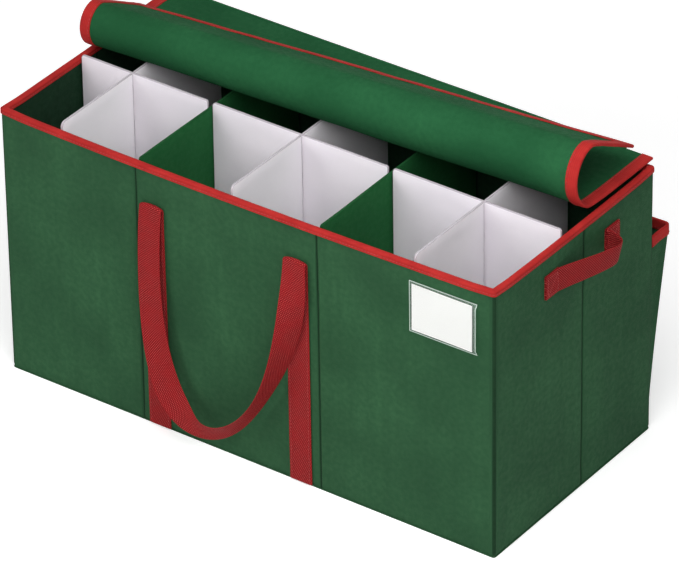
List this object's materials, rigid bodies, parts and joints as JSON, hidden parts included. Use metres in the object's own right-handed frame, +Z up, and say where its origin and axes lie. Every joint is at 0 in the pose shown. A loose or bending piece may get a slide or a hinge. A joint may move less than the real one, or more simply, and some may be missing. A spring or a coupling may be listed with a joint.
{
  "type": "figurine storage box",
  "caption": "Long fabric box with a roll-up lid, slotted dividers forming tall cells, webbing handles and a clear label pocket.",
  "frame": {"origin": "middle of the base's underside, on the surface that the box stands on", "axes": "+X along the front towards the end with the label pocket, +Y from front to rear, +Z up"},
  "size_m": [0.7338, 0.3946, 0.4296],
  "materials": {
    "green_fabric": "woven, slightly lustrous",
    "lining_fabric": "matt woven",
    "red_binding": "folded tape",
    "red_webbing": "twill webbing",
    "white_board": "matt non-woven over card",
    "grey_board": "plain stiffener board",
    "clear_film": "clear glossy film",
    "card_paper": "matt card"
  },
  "bodies": {
    "box": {"base_board": "grey_board", "base_cover": "green_fabric", "base_lining": "lining_fabric", "deep_divider_left": "white_board", "deep_divider_middle": "white_board", "deep_divider_right": "white_board", "fabric_divider_left": "green_fabric", "fabric_divider_right": "green_fabric", "front_board_left": "grey_board", "front_board_middle": "grey_board", "front_board_right": "grey_board", "front_cover": "green_fabric", "front_lining": "lining_fabric", "front_strap_left": "red_webbing", "front_strap_right": "red_webbing", "label_pocket": "clear_film", "left_board_front": "grey_board", "left_board_rear": "grey_board", "left_cover": "green_fabric", "left_lining": "lining_fabric", "left_tab_front": "red_webbing", "left_tab_rear": "red_webbing", "lid_hinge_tape": "green_fabric", "pocket_binding_left": "red_binding", "pocket_binding_right": "red_binding", "rear_board_left": "grey_board", "rear_board_middle": "grey_board", "rear_board_right": "grey_board", "rear_cover": "green_fabric", "rear_lining": "lining_fabric", "rear_pocket_left": "green_fabric", "rear_pocket_right": "green_fabric", "rear_strap_left": "red_webbing", "rear_strap_right": "red_webbing", "right_board_front": "grey_board", "right_board_rear": "grey_board", "right_cover": "green_fabric", "right_lining": "lining_fabric", "right_tab_front": "red_webbing", "right_tab_rear": "red_webbing", "rim_binding": "red_binding"},
    "lid_flap": {"lid_slat_0": "green_fabric"},
    "lid_curl_1": {"lid_slat_1": "green_fabric"},
    "lid_curl_2": {"lid_slat_2": "green_fabric"},
    "lid_curl_3": {"lid_slat_3": "green_fabric"},
    "lid_curl_4": {"lid_slat_4": "green_fabric"},
    "lid_curl_5": {"lid_slat_5": "green_fabric"},
    "lid_curl_6": {"lid_slat_6": "green_fabric"},
    "lid_curl_7": {"lid_slat_7": "green_fabric"},
    "lid_tip": {"lid_slat_8": "green_fabric", "lid_edge_binding": "red_binding"},
    "front_carrying_handle": {"front_handle": "red_webbing"},
    "rear_carrying_handle": {"rear_handle": "red_webbing"},
    "left_grab_handle": {"left_handle": "red_webbing"},
    "right_grab_handle": {"right_handle": "red_webbing"},
    "left_cross_board": {"long_divider_left": "white_board"},
    "middle_cross_board": {"long_divider_middle": "white_board"},
    "right_cross_board": {"long_divider_right": "white_board"},
    "card": {"label_card": "card_paper"}
  },
  "joints": [
    {"name": "lid_swing", "type": "hinge", "parent": "box", "child": "lid_flap", "pos_m": [0, 0.1598, 0.3555], "axis": [-1, 0, 0], "range_deg": [0, 180]},
    {"name": "lid_crease_1", "type": "hinge", "parent": "lid_flap", "child": "lid_curl_1", "pos_m": [0, 0.02456, 0.3555], "axis": [-0.9989, -0.0461, 0], "range_deg": [-26.2, 0]},
    {"name": "lid_crease_2", "type": "hinge", "parent": "lid_curl_1", "child": "lid_curl_2", "pos_m": [-0.00007, 0.01055, 0.36238], "axis": [-0.9993, -0.0382, -0.0039], "range_deg": [-26.2, 0]},
    {"name": "lid_crease_3", "type": "hinge", "parent": "lid_curl_2", "child": "lid_curl_3", "pos_m": [-0.00033, 0.00132, 0.37435], "axis": [-0.9994, -0.0331, -0.0105], "range_deg": [-26.2, 0]},
    {"name": "lid_crease_4", "type": "hinge", "parent": "lid_curl_3", "child": "lid_curl_4", "pos_m": [-0.00082, -0.00162, 0.38884], "axis": [-0.9993, -0.0317, -0.0177], "range_deg": [-26.2, 0]},
    {"name": "lid_crease_5", "type": "hinge", "parent": "lid_curl_4", "child": "lid_curl_5", "pos_m": [-0.00148, 0.00197, 0.4025], "axis": [-0.9991, -0.0335, -0.0248], "range_deg": [-26.2, 0]},
    {"name": "lid_crease_6", "type": "hinge", "parent": "lid_curl_5", "child": "lid_curl_6", "pos_m": [-0.00223, 0.01091, 0.4128], "axis": [-0.9988, -0.038, -0.03], "range_deg": [-26.2, 0]},
    {"name": "lid_crease_7", "type": "hinge", "parent": "lid_curl_6", "child": "lid_curl_7", "pos_m": [-0.00294, 0.02303, 0.41789], "axis": [-0.9985, -0.0439, -0.0325], "range_deg": [-26.2, 0]},
    {"name": "lid_crease_8", "type": "hinge", "parent": "lid_curl_7", "child": "lid_tip", "pos_m": [-0.00348, 0.03567, 0.41714], "axis": [-0.9982, -0.0498, -0.0321], "range_deg": [-26.2, 0]},
    {"name": "front_handle_swing", "type": "hinge", "parent": "box", "child": "front_carrying_handle", "pos_m": [-0.02325, -0.1595, 0.297], "axis": [-1, 0, 0], "range_deg": [0, 160]},
    {"name": "rear_handle_swing", "type": "hinge", "parent": "box", "child": "rear_carrying_handle", "pos_m": [-0.02325, 0.1595, 0.297], "axis": [-1, 0, 0], "range_deg": [-160, 0]},
    {"name": "left_handle_lift", "type": "hinge", "parent": "box", "child": "left_grab_handle", "pos_m": [-0.3373, 0.00936, 0.32], "axis": [0, 1, 0], "range_deg": [0, 90]},
    {"name": "right_handle_lift", "type": "hinge", "parent": "box", "child": "right_grab_handle", "pos_m": [0.3373, 0.00936, 0.32], "axis": [0, -1, 0], "range_deg": [0, 90]},
    {"name": "left_cross_board_lift", "type": "slide", "parent": "box", "child": "left_cross_board", "axis": [0, 0, 1], "range_m": [0, 0.355]},
    {"name": "middle_cross_board_lift", "type": "slide", "parent": "box", "child": "middle_cross_board", "axis": [0, 0, 1], "range_m": [0, 0.355]},
    {"name": "right_cross_board_lift", "type": "slide", "parent": "box", "child": "right_cross_board", "axis": [0, 0, 1], "range_m": [0, 0.355]},
    {"name": "card_slide", "type": "slide", "parent": "box", "child": "card", "axis": [1, 0, 0], "range_m": [0, 0.092]}
  ]
}
